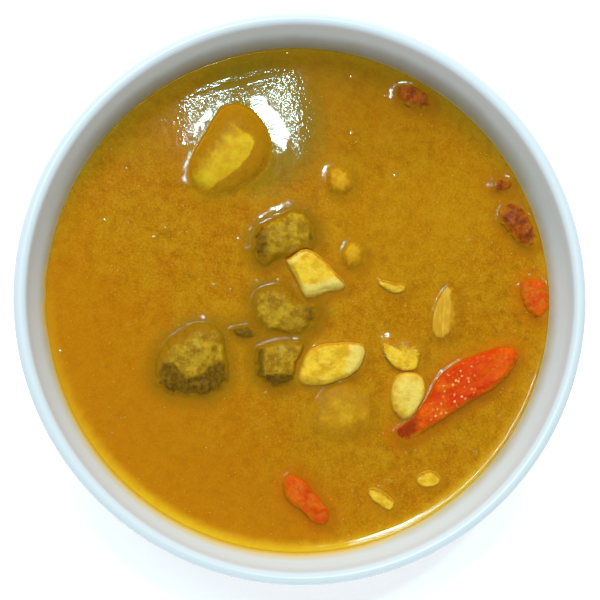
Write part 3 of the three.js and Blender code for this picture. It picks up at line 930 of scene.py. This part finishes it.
def curry_surface(food, x, y):
    """The surface's height at each place, and shares from 0 to 1 that its material reads.

    near_ and a kind of food say how near that food is, shade where a piece keeps light away,
    open_water where nothing stands and hollow how far the place is in the mirror's hollow.
    """
    height = open_height(x, y)
    shares = {"near_" + kind: np.zeros(len(x)) for kind in TINTING}
    shares["shade"] = np.zeros(len(x))
    shares["open_water"] = np.ones(len(x))
    shares["hollow"] = mirror_hollow(x, y)[1]
    for name, piece in food.items():
        kind, _, fillet, climb, soft_climb, _, _, soft_side = PIECES[name]
        line = waterline(piece)
        away, turn = distance_to(line, x, y, NEAR)
        top = top_of(piece, x, y, away < NEAR)
        outside = np.where(top > height, 0, away)
        side = facing(np.where(top > height, turn, turn + math.pi), soft_side)
        climbed = climb * np.exp(-outside / CLIMB_WIDTH)
        climbed = climbed + soft_climb * side * np.exp(-away / SOFT_CLIMB_WIDTH)
        height = lapped(height + np.where(away < NEAR, climbed, 0), top, fillet)
        shares["open_water"] *= smoothstep(0.3, 1.2, outside)
        if "near_" + kind in shares:
            shares["near_" + kind] = np.maximum(shares["near_" + kind], 1 - outside / NEAR)
        if fillet < 0.6:
            beyond, _ = distance_to(line, x - SHADE_SHIFT, y + SHADE_SHIFT, 3)
            shares["shade"] = np.maximum(shares["shade"], smoothstep(2.4, 0.2, beyond))
    return height, shares


def disc_edge(cells):
    """The numbers of the grid's edge vertices, in order round the disc."""
    side = cells + 1
    last = side * side - 1
    edge = list(range(cells))
    edge += [cells + row * side for row in range(cells)]
    edge += [last - column for column in range(cells)]
    edge += [last - cells - row * side for row in range(cells)]
    return edge


def band(below, above):
    """Quads between two loops that run the same way round."""
    count = len(below)
    return [
        (below[i], below[(i + 1) % count], above[(i + 1) % count], above[i]) for i in range(count)
    ]


def curry_piece(food):
    """The curry as one closed piece. Its attribute strewn is 1 where beads and flecks may float."""
    edge_radius = inner_radius(LEVEL + MENISCUS_HEIGHT) + INTO_WALL
    unit_x, unit_y = round_grid(SURFACE_CELLS)
    x, y = unit_x * edge_radius, unit_y * edge_radius
    z, shares = curry_surface(food, x, y)
    vertices = np.column_stack((x, y, z)).tolist()
    side = SURFACE_CELLS + 1
    starts = [row * side + column for row in range(SURFACE_CELLS) for column in range(SURFACE_CELLS)]
    faces = [(here, here + 1, here + 1 + side, here + side) for here in starts]

    above = disc_edge(SURFACE_CELLS)
    turns = [math.atan2(y[index], x[index]) for index in above]
    floor = BASE_MID_HEIGHT + WALL / 2 + GAP
    for height in np.linspace(LEVEL - 0.6, floor + 0.5, 9):
        radius = inner_radius(height) - GAP
        start = len(vertices)
        vertices += [(radius * math.cos(t), radius * math.sin(t), height) for t in turns]
        below = list(range(start, start + len(turns)))
        faces += band(below, above)
        above = below
    centre = len(vertices)
    vertices.append((0, 0, floor))
    faces += [(above[i], centre, above[i - 1]) for i in range(len(above))]
    piece = new_piece("curry_body", vertices, faces)

    hidden = np.zeros(len(vertices) - len(x))
    shares["open_water"] *= smoothstep(0.6, 2.0, edge_radius - np.hypot(x, y))
    shares["strewn"] = shares["open_water"] * (1 - shares["hollow"])
    for name, values in shares.items():
        store(piece, name, np.append(values, hidden))
    return piece


def curry_finish():
    """Thick coconut curry: ochre, finely mottled, and yellow where it is thin against the wall."""
    work = Paintwork("thick_curry")
    place = work.place()
    x, y, _ = work.axes(place)
    radius = (x * x + y * y) ** 0.5
    turn = work.wire("ShaderNodeMath", {"operation": "ARCTAN2"}, {0: y, 1: x})
    tints = {kind: work.attribute("near_" + kind) for kind in TINTING}
    colour = curry_colour(work, place, tints)

    flat = work.moved(place, scale=(1, 1, 0.2))
    mottle = work.cloud(flat, 2.6, detail=5.0, roughness=0.65)
    near_side = work.ease(abs(turn + math.radians(95)), math.radians(95), math.radians(20))
    thin_edge = work.ease(radius + (mottle - 0.5) * 2.0, 68.4, 72.4)
    colour = work.blend(thin_edge * (0.12 + near_side * 0.8), colour, paint(240, 188, 30))
    glow = tints["meat"] + (mottle - 0.5) * 0.2
    colour = work.laid(colour, (glow, 0.78, 1.0, 0.4, paint(212, 146, 12)))
    colour = work.blend(work.attribute("shade") * 0.3, colour, paint(154, 88, 2))
    # Painted reflection: under the glare the curry is painted a duller green, part of the glare's look.
    glare = work.ease(from_patch(x, y, (-13, 50), (1, 0), 1.0) + (mottle - 0.5) * 8.0, 24.0, 14.0)
    glare = glare * work.ease(tints["potato"], 1.0, 0.85)
    colour = work.blend(glare * 0.6, colour, paint(132, 112, 16))

    # In the hollow the curry mirrors the lamp in whole patches where it is smooth, and in
    # scattered sparkles elsewhere.
    drift = (mottle - 0.5) * 6.0
    right = work.ease(from_patch(x, y, *GLARE_RIGHT) + drift, 5.2, 3.0)
    left = work.ease(from_patch(x, y, *GLARE_LEFT) + drift, 3.0, 1.2)
    along_arc = abs(x - GLARE_ARC_MIDDLE)
    from_arc = abs(radius - GLARE_ARC_RADIUS - along_arc * 0.05 + drift * 0.1)
    arc = work.ease(from_arc, 1.2, 0.6) * work.ease(along_arc, 15.5, 13.0)
    smooth = 1.0 - (1.0 - right) * (1.0 - left) * (1.0 - arc)
    by_aubergine = work.ease(tints["aubergine"], 0.6, 0.85)
    grainy = work.attribute("hollow") * (1.0 - smooth) * 1.5 + by_aubergine * 0.4
    open_water = work.ease(radius, 68.0, 66.0, 0.15, 1.0) * (work.attribute("open_water") * 0.7 + 0.3)
    calm = (grainy + 0.35) * open_water
    swelling = (by_aubergine * 2.0 + 0.4) * open_water
    return work.finish({
        "Base Color": colour,
        "Roughness": 0.06,
        "IOR": 1.38,
        "Specular IOR Level": 0.22,
        "Subsurface Weight": TRANSLUCENCY,
        "Subsurface Scale": SCATTER * MM,
        "Normal": work.bump(curry_relief(work, place, calm, swelling), 1.0),
    })


# ---------------- what floats in the curry

def scatter_tree(name, subdivisions):
    """A Geometry Nodes tree that strews small flattened beads over open water."""
    tree = bpy.data.node_groups.new(name, "GeometryNodeTree")
    face = tree.interface
    face.new_socket("Geometry", in_out="INPUT", socket_type="NodeSocketGeometry")
    for label in ("Density", "Smallest", "Largest", "Flatness"):
        face.new_socket(label, in_out="INPUT", socket_type="NodeSocketFloat")
    face.new_socket("Seed", in_out="INPUT", socket_type="NodeSocketInt")
    face.new_socket("Material", in_out="INPUT", socket_type="NodeSocketMaterial")
    face.new_socket("Geometry", in_out="OUTPUT", socket_type="NodeSocketGeometry")

    def add(kind, settings=None, inputs=None):
        return add_node(tree, kind, settings, inputs)

    given = add("NodeGroupInput").outputs
    allowed = add("GeometryNodeInputNamedAttribute", {"data_type": "FLOAT"}, {"Name": "strewn"})
    density = add("ShaderNodeMath", {"operation": "MULTIPLY"}, {
        0: given["Density"], 1: allowed.outputs[0],
    })
    strewn = add("GeometryNodeDistributePointsOnFaces", {}, {
        "Mesh": given["Geometry"], "Density": density.outputs[0], "Seed": given["Seed"],
    })
    bead = add("GeometryNodeMeshIcoSphere", {}, {"Radius": 1.0, "Subdivisions": subdivisions})
    size = add("FunctionNodeRandomValue", {"data_type": "FLOAT"}, {
        2: given["Smallest"], 3: given["Largest"], "Seed": given["Seed"],
    })
    skew = add("FunctionNodeRandomValue", {"data_type": "FLOAT_VECTOR"}, {
        0: (0.6, 0.6, 1.0), 1: (1.3, 1.3, 1.0), "Seed": given["Seed"],
    })
    squash = add("ShaderNodeCombineXYZ", {}, {"X": 1.0, "Y": 1.0, "Z": given["Flatness"]})
    shape = add("ShaderNodeVectorMath", {"operation": "MULTIPLY"}, {
        0: skew.outputs[0], 1: squash.outputs[0],
    })
    scale = add("ShaderNodeVectorMath", {"operation": "SCALE"}, {
        0: shape.outputs[0], "Scale": size.outputs[1],
    })
    turn = add("FunctionNodeRandomValue", {"data_type": "FLOAT_VECTOR"}, {
        0: (0, 0, 0), 1: (0, 0, math.tau), "Seed": given["Seed"],
    })
    placed = add("GeometryNodeInstanceOnPoints", {}, {
        "Points": strewn.outputs["Points"], "Instance": bead.outputs["Mesh"],
        "Rotation": turn.outputs[0], "Scale": scale.outputs[0],
    })
    real = add("GeometryNodeRealizeInstances", {}, {"Geometry": placed.outputs[0]})
    dressed = add("GeometryNodeSetMaterial", {}, {
        "Geometry": real.outputs[0], "Material": given["Material"],
    })
    add("NodeGroupOutput", {}, {0: dressed.outputs[0]})
    return tree


def strew(name, ground, tree, material, slot, density, smallest, largest, flatness, seed):
    """Beads of one kind over the curry. density is for each square centimetre, sizes are radii."""
    piece = add_object(name, ground.data.copy())
    modifier = piece.modifiers.new("strewn", "NODES")
    modifier.node_group = tree
    values = {
        "Density": density * 1e4, "Smallest": smallest * MM, "Largest": largest * MM,
        "Flatness": flatness, "Seed": seed, "Material": material,
    }
    for item in tree.interface.items_tree:
        if item.in_out == "INPUT" and item.name in values:
            modifier[item.identifier] = values[item.name]
    bake_modifiers(piece)
    dress(piece, material, slot)
    return piece


def plain_finish(name, low, high, roughness, coat):
    """A small thing's finish that varies between two colours."""
    work = Paintwork(name)
    place = work.place()
    shade = work.cloud(place, 0.6)
    return work.finish({
        "Base Color": work.blend(work.ease(shade, 0.35, 0.65), low, high),
        "Roughness": roughness + shade * 0.08,
        "IOR": 1.42,
        "Normal": work.bump(shade, 0.05, 0.4),
        "Coat Weight": coat,
        "Coat Roughness": 0.04,
    })


def make_strewn(curry):
    """Oil beads, pale flecks and ground spice on the curry."""
    fine = scatter_tree("strewn_fine", 1)
    round_beads = scatter_tree("strewn_round", 2)
    oil = plain_finish("curry_oil", paint(186, 122, 12), paint(200, 138, 20), 0.06, 0.5)
    pale = plain_finish("coconut_curd", paint(206, 150, 40), paint(222, 174, 70), 0.5, 0.0)
    dark = plain_finish("spice_specks", paint(110, 66, 6), paint(150, 98, 12), 0.4, 0.2)
    strew("oil_beads", curry, round_beads, oil, "curry", 0.4, 0.3, 0.8, 0.1, 5)
    strew("curd_flecks", curry, fine, pale, "curry", 2.5, 0.08, 0.26, 0.25, 8)
    strew("ground_spice", curry, fine, dark, "curry", 2.0, 0.06, 0.18, 0.3, 13)


# ---------------- floor, light and camera

def make_floor():
    work = Paintwork("pale_floor")
    shade = work.cloud(work.place(), 60.0)
    colour = work.blend(shade, paint(250, 250, 250), paint(246, 247, 248))
    material = work.finish({
        "Base Color": colour,
        "Roughness": 0.7,
        "Emission Color": (1, 1, 1, 1),
        "Emission Strength": 0.45,
    })
    half = 1500
    corners = [(-half, -half, 0), (half, -half, 0), (half, half, 0), (-half, half, 0)]
    floor = new_piece("floor", corners, [(0, 1, 2, 3)])
    floor.data.materials.append(material)


def aim_at(holder, place, target):
    """Puts a camera or a lamp at a place, towards a target and with +Y up in its view."""
    sight = (Vector(target) - Vector(place)).normalized()
    right = sight.cross(Vector((0, 1, 0))).normalized()
    holder.rotation_euler = Matrix((right, right.cross(sight), -sight)).transposed().to_euler()
    holder.location = Vector(place) * MM


def add_lamp(name, place, size, power, colour, mirrored=True, length=None, turn=0.0):
    """A lamp that faces the bowl: round, or a strip of a length at a turn in degrees.

    Its size is in millimetres, its power in watts.
    """
    lamp = bpy.data.lights.new(name, "AREA")
    lamp.shape = "RECTANGLE" if length else "DISK"
    lamp.size = (length or size) * MM
    lamp.size_y = size * MM
    lamp.energy = power
    lamp.color = colour
    holder = add_object(name, lamp)
    holder.visible_glossy = mirrored
    aim_at(holder, place, (0, 0, LEVEL))
    holder.rotation_euler.rotate_axis("Z", math.radians(turn))


def make_light():
    """A small lamp and a strip that the curry mirrors, two soft lamps and a bright room."""
    world = bpy.data.worlds.new("soft_room")
    bpy.context.scene.world = world
    world.use_nodes = True
    background = world.node_tree.nodes["Background"]
    background.inputs["Color"].default_value = (0.9, 0.97, 1.03, 1)
    background.inputs["Strength"].default_value = 0.33
    add_lamp("key", (22, 294, 1240), 70, 3.0, (0.64, 1.0, 1.0))
    add_lamp("strip", (-127, 354, 1240), 32, 5.0, (0.56, 0.98, 1.06), length=420, turn=45)
    add_lamp("window", (-75, 800, 850), 500, 5.0, (1.2, 0.96, 0.9), mirrored=False)
    add_lamp("fill", (0, -900, 90), 100, 2.4, (0.97, 1.0, 1.04), mirrored=False)
    scene = bpy.context.scene
    scene.view_settings.view_transform = "Standard"
    scene.view_settings.look = "None"


def make_camera():
    camera = bpy.data.cameras.new("camera")
    holder = add_object("camera", camera)
    camera.lens = CAMERA_LENS
    camera.sensor_width = 36
    aim_at(holder, CAMERA_PLACE, CAMERA_AIM)
    bpy.context.scene.camera = holder


make_camera()
make_light()
make_floor()
dress(make_bowl(), porcelain(), "porcelain", "bowl")
food = make_food()
curry = curry_piece(food)
dress(curry, curry_finish(), "curry", "curry")
make_strewn(curry)
